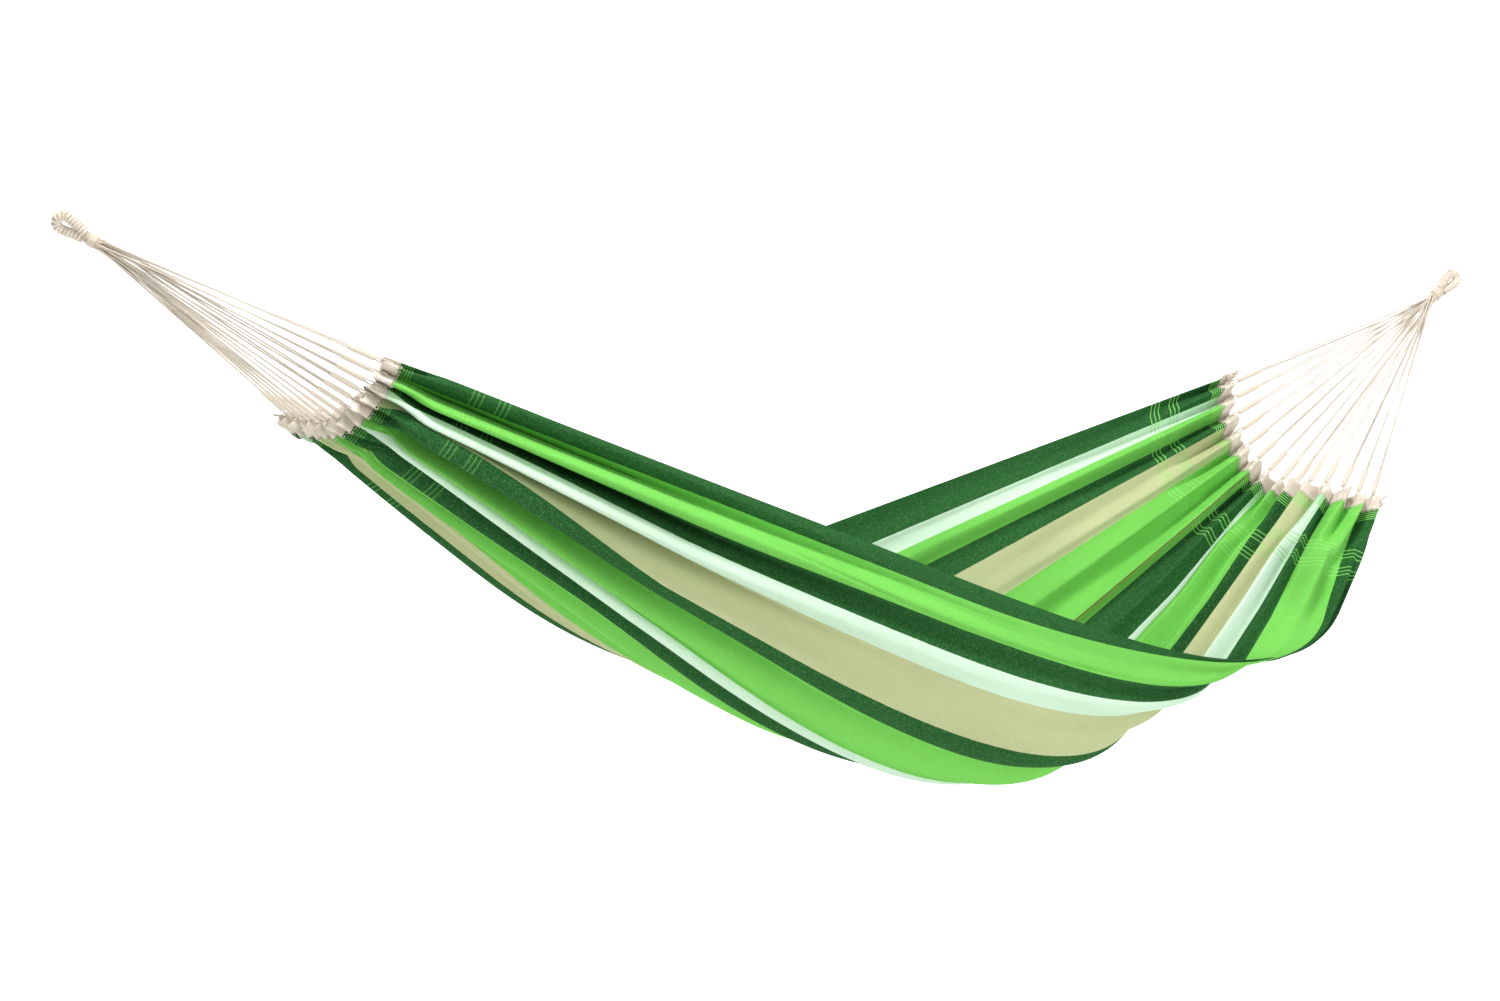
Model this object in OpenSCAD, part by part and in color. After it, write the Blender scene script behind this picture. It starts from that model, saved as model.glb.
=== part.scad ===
// Striped cloth hammock on cotton cords, hung between two hooks by served rope loops.
// The origin is the seat of the left hook, +X runs to the right hook and +Z is up.

/* [Hanging] */
// Distance between the two hook seats, measured level
span = 3065; // [2900:5:3150]
// Drop from the left hook seat to both throats
throat_drop = 48; // [40:1:56]
// Pitch of the right loop below level
right_pitch = 40; // [36:1:46]
// Turn of the left loop about its own length
left_roll = 28; // [0:1:30]
// Left throat to the edge of the cloth at far rim, keel and near rim
hang_left = [495, 545, 565]; // [450:5:650]
// Right throat to the edge of the cloth at far rim, keel and near rim
hang_right = [530, 620, 570]; // [450:5:650]

/* [Bed] */
// Bend of the far rim
far_rim = [950, 360, -800]; // [-1500:10:3000]
// Bend of the far flank
far_flank = [1930, -30, -1400]; // [-1500:10:3000]
// Bend of the keel
keel = [1920, -60, -1320]; // [-1500:10:3000]
// Bend of the near flank
near_flank = [1900, -380, -930]; // [-1500:10:3000]
// Bend of the near rim
near_rim = [2490, -310, -960]; // [-1500:10:3000]
// Rounding of the bend towards the left at far rim, keel and near rim
round_left = [460, 660, 770]; // [200:10:1000]
// Rounding of the bend towards the right at far rim, keel and near rim
round_right = [360, 240, 270]; // [150:10:500]

/* [Cloth] */
// Thickness of the woven cloth
cloth_t = 1.6; // [1.2:0.1:2.4]
// Pleats gathered across each end
pleats = 14; // [12:1:16]
// Pleats in the far loom width, the rest are in the near one
far_pleats = 6; // [5:1:7]
// Height of a pleat at the header
pleat_h = 21; // [14:1:24]
// Height of the soft folds left at the belly
fold_h = 5; // [2:0.5:8]
// Length over which the pleats die away
pleat_fade = 1300; // [800:50:1500]
// Width of the sewn seam between the two loom widths
seam_w = 7; // [5:0.5:10]
// Stand of the seam above each face of the cloth
seam_stand = 0.9; // [0.5:0.1:1.5]

/* [Header] */
// Width of the canvas header past the edge of the cloth
header_w = 30; // [26:1:40]
// Length of the header that overlaps the cloth
hem = 6; // [5:1:12]
// Thickness of the canvas
canvas_t = 1.1; // [0.8:0.1:1.5]
// Distance from the edge of the cloth to the eyelets
eyelet_in = 9; // [8:0.5:12]

/* [Cords] */
// Diameter of a suspension cord
cord_d = 3.6; // [3.2:0.1:4]
// Length of the whipping that closes each doubled cord
sleeve_len = 58; // [40:1:70]
// Wall of that whipping
sleeve_wall = 1.2; // [0.8:0.1:1.6]
// Rows of cords in each throat
throat_rows = 5; // [4:1:5]

/* [Loops] */
// Radius of the eye to the middle of its strand
eye_r = 13.5; // [13:0.5:16]
// Radius of the strand's core
core_r = 4.8; // [4.4:0.1:5.2]
// Diameter of the serving cord
serving_d = 2.6; // [2:0.1:2.7]
// Rise of one turn of the serving
serving_pitch = 6.4; // [6.4:0.1:8]
// Radius of the neck
neck_r = 13; // [12:0.5:15]
// Distance from the middle of the eye to the start of the neck
neck_start = 50; // [44:1:56]
// Turns of the seizing round the neck
seizing_turns = 4; // [3:1:4]
// Length of the gathered throat where the neck widens to take the cords
flare_len = 6; // [4:0.5:8]

/* [Clearances] */
// Gap between pieces that touch on the real object
gap = 0.3; // [0.2:0.05:0.4]

/* [Hidden] */
cream = [0.90, 0.86, 0.79];
leaf = [0.42, 0.78, 0.33];
forest = [0.16, 0.38, 0.20];
ochre = [0.72, 0.58, 0.30];
cord_r = cord_d / 2;
serving_r = serving_d / 2;
serving_rings = 8;
// Rings stand far enough out for the flats between them to clear the core
serving_coil_r = (core_r + gap + serving_r) / cos(180 / serving_rings);
strand_r = serving_coil_r + serving_r;
eye_x = eye_r - strand_r;
seizing_pitch = serving_d + 2 * gap;
seizing_x = eye_x + neck_start + serving_d;
seizing_end = seizing_x + seizing_turns * seizing_pitch + serving_r;
// The seizing ends where the slanted throat plane of the right loop clears it
loop_len = seizing_end + (neck_r + serving_d + 2 * gap) * tan(right_pitch) + flare_len / cos(right_pitch);
left_pitch = asin(throat_drop / loop_len);
hook_rise = loop_len * sin(right_pitch) - throat_drop;
throat_l = [loop_len * cos(left_pitch), 0, -throat_drop];
throat_r = [span - loop_len * cos(right_pitch), 0, -throat_drop];
cols_per_pleat = 4;
cols = pleats * cols_per_pleat;
seam_col = far_pleats * cols_per_pleat;
rows_left = 4;
rows_bend = 7;
rows_right = 4;
row_a = 1 + rows_left;
row_b = row_a + rows_bend;
rows = row_b + rows_right + 1;
table_steps = 80;

function unit(a) = a / norm(a);
function mix(a, b, t) = a + (b - a) * t;
function bezier2(a, b, c, t) = mix(mix(a, b, t), mix(b, c, t), t);
function bezier4(p, t) = bezier2(
    bezier2(p[0], p[1], p[2], t),
    bezier2(p[1], p[2], p[3], t),
    bezier2(p[2], p[3], p[4], t), t);
function through3(a, t) = a[0] * (1 - t) * (1 - 2 * t) + 4 * a[1] * t * (1 - t) + a[2] * t * (2 * t - 1);

// Length along a row of points, as pairs of length and share, for lookup()
function run_table(p) = let(n = len(p) - 1)
    [for (k = 0, s = 0; k <= n; k = k + 1, s = k <= n ? s + norm(p[k] - p[k - 1]) : s) [s, k / n]];
function even_share(table, t) = lookup(t * table[len(table) - 1][0], table);

// The bend line runs across the bed, and every warp thread turns upwards on it
bend_points = [far_rim, far_flank, keel, near_flank, near_rim];
bend_table = run_table([for (k = [0:table_steps]) bezier4(bend_points, k / table_steps)]);
function bend_at(v) = bezier4(bend_points, even_share(bend_table, v));
function aim_l(v) = unit(bend_at(v) - throat_l);
function aim_r(v) = unit(bend_at(v) - throat_r);

// Cords leave the header at even steps, so the ends of the threads are spaced evenly too
head_table_l = run_table([for (k = [0:table_steps]) aim_l(k / table_steps)]);
head_table_r = run_table([for (k = [0:table_steps]) aim_r(k / table_steps)]);
function head_aim(end, v) = end == 0 ? aim_l(even_share(head_table_l, v)) : aim_r(even_share(head_table_r, v));
function throat(end) = end == 0 ? throat_l : throat_r;

// One warp thread: left edge, start of the bend, bend, end of the bend, right edge
function warp(v) = let(
    c = bend_at(v),
    l = throat_l + through3(hang_left, v) * head_aim(0, v),
    r = throat_r + through3(hang_right, v) * head_aim(1, v),
    a = c + min(through3(round_left, v), 0.9 * norm(l - c)) * unit(l - c),
    b = c + min(through3(round_right, v), 0.9 * norm(r - c)) * unit(r - c))
    [l, a, c, b, r];
function warp_point(w, r) =
    r == 0 ? w[0] :
    r <= row_a ? mix(w[0] + hem * unit(w[1] - w[0]), w[1], (r - 1) / rows_left) :
    r <= row_b ? bezier2(w[1], w[2], w[3], (r - row_a) / rows_bend) :
    r < rows ? mix(w[3], w[4] + hem * unit(w[3] - w[4]), (r - row_b) / rows_right) : w[4];
base = [for (i = [0:cols]) let(w = warp(i / cols)) [for (r = [0:rows]) warp_point(w, r)]];

function across(g, i, r) = g[min(i + 1, cols)][r] - g[max(i - 1, 0)][r];
function along(g, i, r) = g[i][min(r + 1, rows)] - g[i][max(r - 1, 0)];
function face_normal(g, i, r) = unit(cross(along(g, i, r), across(g, i, r)));
function edge_distance(i, r) = min(norm(base[i][r] - base[i][0]), norm(base[i][r] - base[i][rows]));
function fold_at(i, r) = let(s = max(0, 1 - edge_distance(i, r) / pleat_fade))
    (fold_h + (pleat_h - fold_h) * s * s) * sin(i * 360 / cols_per_pleat);
cloth = [for (i = [0:cols]) [for (r = [0:rows]) base[i][r] + fold_at(i, r) * face_normal(base, i, r)]];
normals = [for (i = [0:cols]) [for (r = [0:rows]) face_normal(cloth, i, r)]];

// Two triangles between neighbouring points of two neighbouring rings
function quad(a, b, c, d) = [[a, b, c], [a, c, d]];
function flat_list(l) = [for (a = l) for (b = a) b];

// A closed skin over rings of n points each, with the given end cap triangles
// Bands whose faces split along the other diagonal are named, so that both sides of a sheet fold alike
module skin(rings, cap, other = []) {
    n = len(rings[0]);
    m = len(rings) - 1;
    sides = flat_list([for (k = [0:m - 1]) for (j = [0:n - 1])
        let(a = k * n + j, b = a + n, d = k * n + (j + 1) % n, c = d + n)
        len(search(j, other)) > 0 ? quad(b, c, d, a) : quad(a, b, c, d)]);
    first = cap;
    last = [for (t = cap) [for (a = [2, 1, 0]) t[a] + m * n]];
    polyhedron(flat_list(rings), concat(sides, first, last), convexity = 10);
}

// Round tube along points: rings square to the route, started from a sideways direction
function bisector(p, k) = let(n = len(p) - 1)
    k == 0 ? unit(p[1] - p[0]) :
    k == n ? unit(p[n] - p[n - 1]) : unit(unit(p[k] - p[k - 1]) + unit(p[k + 1] - p[k]));
tube_sides = 6;
tube_cap = [[0, 1, 2], [0, 2, 3], [0, 3, 4], [0, 4, 5]];
function ring(c, t, side, r) = let(u = unit(cross(side, t)), w = cross(t, u))
    [for (j = [0:tube_sides - 1]) c + r * (cos(j * 60) * u + sin(j * 60) * w)];

// Cloth between two columns, as a slab of the given half thickness
module slab(c0, c1, inset0, inset1, half) {
    n = rows + 1;
    function place(i, r) = i == c0 ? mix(cloth[i][r], cloth[i + 1][r], inset0 / norm(cloth[i + 1][r] - cloth[i][r])) :
        i == c1 ? mix(cloth[i][r], cloth[i - 1][r], inset1 / norm(cloth[i - 1][r] - cloth[i][r])) : cloth[i][r];
    rings = [for (i = [c0:c1]) concat(
        [for (r = [0:rows]) place(i, r) + half * normals[i][r]],
        [for (r = [rows:-1:0]) place(i, r) - half * normals[i][r]])];
    cap = flat_list([for (r = [0:rows - 1]) quad(r, r + 1, 2 * n - 2 - r, 2 * n - 1 - r)]);
    skin(rings, cap, other = [for (j = [n:2 * n - 1]) j]);
}

module far_panel() {
    color(leaf) slab(0, seam_col, 0, seam_w / 2, cloth_t / 2);
}

module near_panel() {
    color(leaf) slab(seam_col, cols, seam_w / 2, 0, cloth_t / 2);
}

// The seam is a flat strip that fills the gap between the two loom widths
module centre_seam() {
    half_w = seam_w / 2 - gap;
    half_t = cloth_t / 2 + seam_stand;
    function side_dir(r) = unit(across(cloth, seam_col, r));
    rings = [for (r = [1:rows - 1]) let(c = cloth[seam_col][r], n = normals[seam_col][r], d = side_dir(r))
        [c - half_w * d - half_t * n, c + half_w * d - half_t * n,
         c + half_w * d + half_t * n, c - half_w * d + half_t * n]];
    color(ochre) skin(rings, [[0, 1, 2], [0, 2, 3]]);
}

// Header: a canvas strip folded over the edge of the cloth, pleated with it
function edge_row(end) = end == 0 ? 0 : rows;
function hem_row(end) = end == 0 ? 1 : rows - 1;
function head_dir(end, i) = unit(throat(end) - base[i][edge_row(end)]);
function head_point(end, i, d) = cloth[i][edge_row(end)] + d * head_dir(end, i);
skin_half = cloth_t / 2 + gap;
header_half = skin_half + canvas_t;
eyelet_r = cord_r + 1.2;
function head_normal(end, i) = normals[i][edge_row(end)];

module header(end) {
    rings = [for (i = [0:cols]) let(
        n = head_normal(end, i),
        m = normals[i][hem_row(end)],
        h = cloth[i][hem_row(end)],
        e = head_point(end, i, gap),
        o = head_point(end, i, header_w))
        [h + header_half * m, o + header_half * n, o - header_half * n, h - header_half * m,
         h - skin_half * m, e - skin_half * n, e + skin_half * n, h + skin_half * m]];
    cap = concat(quad(0, 1, 6, 7), quad(1, 2, 5, 6), quad(2, 3, 4, 5));
    flip = [for (g = rings) end == 1 ? g : reversed(g)];
    flip_cap = end == 1 ? cap : [for (t = cap) [7 - t[2], 7 - t[1], 7 - t[0]]];
    color(cream) difference() {
        skin(flip, flip_cap, other = end == 1 ? [2, 6] : [0, 4]);
        for (k = [0:pleats - 1]) {
            i = cord_col(k);
            point_along(head_point(end, i, eyelet_in), head_normal(end, i)) {
                cylinder(r = eyelet_r, h = 6 * header_half, center = true, $fn = 32);
            }
        }
    }
}

// Turns +Z to a direction and moves to a point, with an optional sideways axis
module point_along(p, z, side = undef) {
    u = side == undef ? unit(cross(abs(z[2]) < 0.9 ? [0, 0, 1] : [1, 0, 0], z)) : unit(side - (side * z) * z);
    v = cross(z, u);
    multmatrix([
        [u[0], v[0], z[0], p[0]],
        [u[1], v[1], z[1], p[1]],
        [u[2], v[2], z[2], p[2]],
        [0, 0, 0, 1]]) children();
}

module left_header() {
    header(0);
}

module right_header() {
    header(1);
}

// Each doubled cord turns back through an eyelet in the steep wall of its pleat
function cord_col(k) = k * cols_per_pleat + 2;
leg_out = header_half + gap + cord_r;
leg_pair = cord_r + gap;
sleeve_from = header_w + 12;

// Places in the throat: doubled cords in rows that step outwards from the curve in which they fan out
function cord_share(k) = (k + 0.5) / pleats;
function slope(end, v) = let(a = head_aim(end, v)) [0, a[1], a[2]] / abs(a[0]);
function cord_slope(end, k) = slope(end, cord_share(k));
function fan_dir(end, k) = unit(cord_slope(end, k + 1) - cord_slope(end, k - 1));
function fan_curve(end, k) = cord_slope(end, k + 2) - 2 * cord_slope(end, k) + cord_slope(end, k - 2);
function fan_cross(end, k) = let(c = cross([1, 0, 0], fan_dir(end, k))) fan_curve(end, k) * c > 0 ? -c : c;
function lean(end, k, line) = sqrt(1 + pow(cord_slope(end, k) * line, 2));
throat_step = cord_d + 2 * gap;
function pair_step(end, k) = throat_step * lean(end, k, fan_dir(end, k));
function row_step(end, k) = (throat_step + gap) * lean(end, k, fan_cross(end, k));
function fan_place(end, k) = k == 0 ? [0, 0, 0] :
    fan_place(end, k - 1) + 2 * pair_step(end, k) / throat_rows * fan_dir(end, k);
function cord_place(end, k) = fan_place(end, k) + k % throat_rows * row_step(end, k) * fan_cross(end, k);
function mean(l) = [for (a = l) 1] * l / len(l);
function slot(end, k, side) = throat(end) + [end == 0 ? gap : -gap, 0, 0]
    + cord_place(end, k) - throat_middle[end] - side * pair_step(end, k) / 2 * fan_dir(end, k);
function slot_reach(end, k, side) = norm(slot(end, k, side) - throat(end));
function flare_r(end) = max([for (k = [0:pleats - 1]) for (side = [-1, 1]) slot_reach(end, k, side)]) + cord_r;
throat_middle = [for (end = [0, 1]) mean([for (k = [0:pleats - 1]) cord_place(end, k)])];

// Sleeve of a doubled cord: its end at the header, its direction and the way across its two legs
function sleeve_start(end, k) = head_point(end, cord_col(k), sleeve_from);
function sleeve_dir(end, k) = unit(mix(slot(end, k, 1), slot(end, k, -1), 0.5) - sleeve_start(end, k));
function sleeve_side(end, k) = let(d = sleeve_dir(end, k), n = leg_side(end, k) * head_normal(end, cord_col(k)))
    unit(n - (n * d) * d);
function leg_side(end, k) =
    head_normal(end, cord_col(k)) * across(base, cord_col(k), edge_row(end)) < 0 ? 1 : -1;

function leg_route(end, k, side) = let(
    i = cord_col(k),
    x = [end == 0 ? 1 : -1, 0, 0],
    n = side * leg_side(end, k) * head_normal(end, i),
    s = side * sleeve_side(end, k),
    f = sleeve_start(end, k))
    [slot(end, k, side),
     slot(end, k, side) + 1.25 * cord_d * x,
     f + sleeve_len * sleeve_dir(end, k) + leg_pair * s,
     f + leg_pair * s,
     head_point(end, i, header_w + gap) + leg_out * n,
     head_point(end, i, eyelet_in + leg_out) + leg_out * n];
function bight(end, k) = let(i = cord_col(k), n = leg_side(end, k) * head_normal(end, i), e = head_dir(end, i))
    [for (a = [45, 90, 135])
        head_point(end, i, eyelet_in + leg_out) + leg_out * (cos(a) * n - sin(a) * e)];
function reversed(l) = [for (k = [len(l) - 1:-1:0]) l[k]];
function cord_route(end, k) = concat(
    leg_route(end, k, 1), bight(end, k), reversed(leg_route(end, k, -1)));

module suspension_cord(end, k) {
    p = cord_route(end, k);
    i = cord_col(k);
    side = cross(head_normal(end, i), head_dir(end, i));
    color(cream) skin([for (q = [0:len(p) - 1]) ring(p[q], bisector(p, q), side, cord_r)], tube_cap);
}

// Whippings: a short sleeve round both legs of every doubled cord
module cord_sleeves(end) {
    bore = cord_r + gap / 2;
    outer = bore + sleeve_wall;
    color(cream) for (k = [0:pleats - 1]) {
        point_along(sleeve_start(end, k), sleeve_dir(end, k), sleeve_side(end, k)) {
            linear_extrude(sleeve_len) difference() {
                union() {
                    for (s = [-1, 1]) {
                        translate([s * leg_pair, 0]) circle(r = outer, $fn = 32);
                    }
                    square([2 * leg_pair, 2 * outer], center = true);
                }
                for (s = [-1, 1]) {
                    translate([s * leg_pair, 0]) circle(r = bore, $fn = 32);
                }
            }
        }
    }
}

module left_cord_sleeves() {
    cord_sleeves(0);
}

module right_cord_sleeves() {
    cord_sleeves(1);
}

// Loop: a teardrop of core rope, drawn along +X from its hook seat with the eye in the XZ plane
leg_reach = norm([neck_start, core_r]);
leg_angle = asin(eye_r / leg_reach) - atan(core_r / neck_start);
leg_len = neck_start * cos(leg_angle) - core_r * sin(leg_angle);

module loop_core(end) {
    cut = 4 * loop_len;
    color(cream) difference() {
        union() {
            translate(throat(end)) rotate([0, end == 0 ? -90 : 90, 0]) {
                cylinder(r1 = flare_r(end), r2 = neck_r, h = flare_len, $fn = 48);
            }
            place_loop(end) translate([eye_x, 0, 0]) rotate([90, 0, 0]) {
                rotate([0, 0, 90 - leg_angle]) {
                    rotate_extrude(angle = 180 + 2 * leg_angle, $fn = 64) {
                        translate([eye_r, 0]) circle(r = core_r, $fn = 32);
                    }
                }
                for (s = [0, 1]) {
                    mirror([0, s, 0]) rotate([0, 0, 90 - leg_angle]) translate([eye_r, 0, 0]) {
                        rotate([90, 0, 0]) cylinder(r = core_r, h = leg_len, $fn = 32);
                    }
                }
                rotate([0, 90, 0]) translate([0, 0, neck_start - core_r]) {
                    cylinder(r = neck_r, h = loop_len + 2 * neck_r, $fn = 48);
                }
            }
        }
        // The neck ends square to the swing axis, so the bed turns past it freely
        translate([throat(end)[0] + (end == 0 ? 0 : -cut), -cut / 2, -cut / 2]) cube(cut);
    }
}

module place_loop(end) {
    translate([end == 0 ? 0 : span, 0, end == 0 ? 0 : hook_rise])
        mirror([end, 0, 0])
            rotate([0, end == 0 ? left_pitch : right_pitch, 0])
                rotate([end == 0 ? left_roll : 0, 0, 0]) children();
}

// Serving: one cord wound round the core, from one leg over the eye to the other leg
serving_leg = leg_clear(strand_r + gap);
function leg_clear(y) = (eye_r - y * cos(leg_angle)) / sin(leg_angle) * cos(leg_angle) - y * sin(leg_angle);
arc_len = eye_r * (180 + 2 * leg_angle) * PI / 180;
serving_len = arc_len + 2 * serving_leg;
serving_turns = min(24, floor(serving_len / serving_pitch));
// Middle of the core strand at length s from the middle of the eye, with its inward direction
function strand(s) = let(
    a = max(-arc_len / 2, min(arc_len / 2, s)),
    t = a / eye_r * 180 / PI,
    on_leg = s - a,
    out = [-cos(t), 0, sin(t)],
    fwd = [sin(t), 0, cos(t)])
    [[eye_x, 0, 0] + eye_r * out + on_leg * fwd, out];
function serving_point(k) = let(
    s = (k / serving_rings - serving_turns / 2) * serving_pitch,
    a = 360 * k / serving_rings,
    c = strand(s),
    radial = cos(a) * c[1] + sin(a) * [0, 1, 0])
    [c[0] + serving_coil_r * radial, radial];
serving_path = [for (k = [0:serving_turns * serving_rings]) serving_point(k)];

module wound_tube(path, r) {
    p = [for (q = path) q[0]];
    skin([for (k = [0:len(p) - 1]) let(t = bisector(p, k)) ring(p[k], t, cross(t, path[k][1]), r)], tube_cap);
}

function least_gap(path, apart, d) = min([for (a = [0:len(path) - 1]) for (b = [a + apart:1:len(path) - 1])
    norm(path[a][0] - path[b][0])]) - d;
echo(serving_least_gap = least_gap(serving_path, serving_rings - 2, serving_d));

module loop_serving(end) {
    color(cream) place_loop(end) wound_tube(serving_path, serving_r);
}

// Seizing: a few turns that draw the two legs together at the neck
seizing_rings = 16;
function seizing_point(k) = let(
    a = 360 * k / seizing_rings,
    radial = [0, cos(a), sin(a)])
    [[seizing_x + k / seizing_rings * seizing_pitch, 0, 0]
        + (neck_r + gap + serving_r) * radial, radial];
seizing_path = [for (k = [0:seizing_turns * seizing_rings]) seizing_point(k)];
echo(seizing_least_gap = least_gap(seizing_path, seizing_rings - 4, serving_d));

module neck_seizing(end) {
    color(cream) place_loop(end) wound_tube(seizing_path, serving_r);
}

module left_loop_core() {
    loop_core(0);
}

module right_loop_core() {
    loop_core(1);
}

module left_loop_serving() {
    loop_serving(0);
}

module right_loop_serving() {
    loop_serving(1);
}

module left_neck_seizing() {
    neck_seizing(0);
}

module right_neck_seizing() {
    neck_seizing(1);
}

function cord_name(end, k) = str(end == 0 ? "left_cord_" : "right_cord_", k < 9 ? "0" : "", k + 1);

near_panel();
far_panel();
centre_seam();
left_header();
right_header();
left_cord_sleeves();
right_cord_sleeves();
left_loop_core();
right_loop_core();
left_loop_serving();
right_loop_serving();
left_neck_seizing();
right_neck_seizing();
for (end = [0, 1]) {
    for (k = [0:pleats - 1]) {
        suspension_cord(end, k);
    }
}
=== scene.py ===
"""The dress of a striped cloth hammock that hangs by served loops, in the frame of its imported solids."""

import math

import bpy
import numpy as np
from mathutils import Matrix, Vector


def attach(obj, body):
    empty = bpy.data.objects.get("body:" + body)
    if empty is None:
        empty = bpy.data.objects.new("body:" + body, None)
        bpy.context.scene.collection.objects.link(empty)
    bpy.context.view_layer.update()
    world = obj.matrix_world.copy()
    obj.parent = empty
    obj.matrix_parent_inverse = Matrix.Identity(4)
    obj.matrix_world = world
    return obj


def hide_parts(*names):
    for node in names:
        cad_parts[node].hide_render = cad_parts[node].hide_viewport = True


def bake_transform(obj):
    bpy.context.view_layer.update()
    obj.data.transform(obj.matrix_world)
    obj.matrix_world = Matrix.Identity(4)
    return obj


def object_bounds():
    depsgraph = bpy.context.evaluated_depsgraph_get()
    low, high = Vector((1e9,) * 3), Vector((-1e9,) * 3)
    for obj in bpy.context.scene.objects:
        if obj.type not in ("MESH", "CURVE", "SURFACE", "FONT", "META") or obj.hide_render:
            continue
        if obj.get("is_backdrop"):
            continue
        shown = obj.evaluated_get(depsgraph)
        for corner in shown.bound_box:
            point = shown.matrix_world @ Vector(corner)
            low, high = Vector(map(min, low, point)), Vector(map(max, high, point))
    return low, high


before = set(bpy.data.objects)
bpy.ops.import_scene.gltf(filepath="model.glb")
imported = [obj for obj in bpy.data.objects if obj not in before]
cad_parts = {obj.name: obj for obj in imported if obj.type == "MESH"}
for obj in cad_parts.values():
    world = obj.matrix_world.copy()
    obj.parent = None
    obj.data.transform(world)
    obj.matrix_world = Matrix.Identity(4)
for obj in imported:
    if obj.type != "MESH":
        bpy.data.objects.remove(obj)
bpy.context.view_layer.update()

# Sizes of the hanging, in metres, as in the part's source
SPAN, THROAT_DROP = 3.065, 0.048
RIGHT_PITCH, LEFT_ROLL = math.radians(40), math.radians(28)
HANG = ((0.495, 0.545, 0.565), (0.530, 0.620, 0.570))
BEND = np.array([[0.95, 0.36, -0.80], [1.93, -0.03, -1.40], [1.92, -0.06, -1.32],
                 [1.90, -0.38, -0.93], [2.49, -0.31, -0.96]])
ROUND = ((0.46, 0.66, 0.77), (0.36, 0.24, 0.27))

# Sizes of the cloth, the headers, the cords and the loops
CLOTH_T, PLEATS, FAR_PLEATS, STEPS = 0.0016, 14, 6, 4
PLEAT_H, FOLD_H, PLEAT_FADE = 0.021, 0.005, 1.3
SEAM_W, SEAM_STAND = 0.007, 0.0009
HEADER_W, HEM, CANVAS_T, EYELET_IN = 0.030, 0.006, 0.0011, 0.009
CORD_D, SLEEVE_LEN, THROAT_ROWS = 0.0036, 0.058, 5
EYE_R, CORE_R, SERVING_D, NECK_R, NECK_START = 0.0135, 0.0048, 0.0026, 0.013, 0.050
SEIZING_TURNS, FLARE_LEN, GAP = 4, 0.006, 0.0003

# Sizes of the dress alone: cords and whippings
SLEEVE_STAND, LEG_EASE, CORD_STEP = 0.012, 0.009, 0.004
CORD_TWIST, CORE_TWIST, SERVING_TWIST = (3, 0.0118, 0.07), (5, 0.045, 0.12), (3, 0.009, 0.08)
WHIP_PITCH, WHIP_RIB, WHIP_WALL, WHIP_FLAT = 0.0029, 0.0005, 0.0017, 0.70
WHIP_TAPER, WHIP_TAPER_LEN = 0.30, 0.004
# Cloth, seam and header tape, with rows of the tape from inside the cloth to its outer edge
PLEAT_COLS, PLEAT_SHARP = 24, 0.94
SEAM_STEP, SEAM_SIDES, SEAM_SET_BACK = 0.002, 12, 0.0012
TAPE_T, TAPE_FOLD_T, TAPE_CREASE = 0.0010, 0.0012, 0.48
TAPE_ROWS = np.array([-0.004, -0.0025, -0.001, 0.001, 0.003, 0.006, 0.010, 0.014, 0.018, 0.022, 0.026,
                      0.0285, 0.030])
EYELET_R, EYELET_STAND, EYELET_THREAD_R = 0.0034, 0.0014, 0.0008
STITCHES, STITCH_IN, STITCH_SWAY, STITCH_STAND, STITCH_R = 8, 0.0055, 0.0045, 0.0013, 0.0006
# Corner knots, loops and throats
KNOT_OUT, KNOT_SIZE, KNOT_CORD_R, KNOT_TAIL, KNOT_TAIL_R = 0.016, 0.0046, 0.0032, 0.032, (0.0030, 0.0020)
CORE_SKIN, SERVING_PITCH, SERVING_STAND, SERVING_CORD_R = 0.0006, 0.0062, 0.0022, 0.0033
SEIZING_WRAPS, SEIZING_R, NECK_RINGS = 6, NECK_R - 0.0004, (0.0022, 0.0062, 0.0100)

CORD_R, SERVING_R = CORD_D / 2, SERVING_D / 2
EYE_X = EYE_R - (CORE_R + GAP + SERVING_R) / math.cos(math.pi / 8) - SERVING_R
SEIZING_X = EYE_X + NECK_START + SERVING_D
SEIZING_END = SEIZING_X + SEIZING_TURNS * (SERVING_D + 2 * GAP) + SERVING_R
LOOP_LEN = (SEIZING_END + (NECK_R + SERVING_D + 2 * GAP) * math.tan(RIGHT_PITCH)
            + FLARE_LEN / math.cos(RIGHT_PITCH))
LEFT_PITCH = math.asin(THROAT_DROP / LOOP_LEN)
HOOK_RISE = LOOP_LEN * math.sin(RIGHT_PITCH) - THROAT_DROP
THROAT = np.array([[LOOP_LEN * math.cos(LEFT_PITCH), 0, -THROAT_DROP],
                   [SPAN - LOOP_LEN * math.cos(RIGHT_PITCH), 0, -THROAT_DROP]])
SEAM_V = FAR_PLEATS / PLEATS
ENDS = ("left", "right")


# The bed's shape
def unit(a):
    return a / np.linalg.norm(a, axis=-1, keepdims=True)


def mix(a, b, t):
    return a + (b - a) * t


def bezier(points, t):
    rank = [np.broadcast_to(q, np.shape(t) + (3,)) if np.ndim(q) == 1 else q for q in points]
    while len(rank) > 1:
        rank = [mix(a, b, np.asarray(t)[..., None]) for a, b in zip(rank, rank[1:])]
    return rank[0]


def through3(a, t):
    return a[0] * (1 - t) * (1 - 2 * t) + 4 * a[1] * t * (1 - t) + a[2] * t * (2 * t - 1)


def run_along(points):
    """Length from the start of a route to each of its points."""
    return np.concatenate([[0], np.cumsum(np.linalg.norm(np.diff(points, axis=0), axis=1))])


def run_share(points):
    run = run_along(points)
    return run / run[-1]


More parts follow.
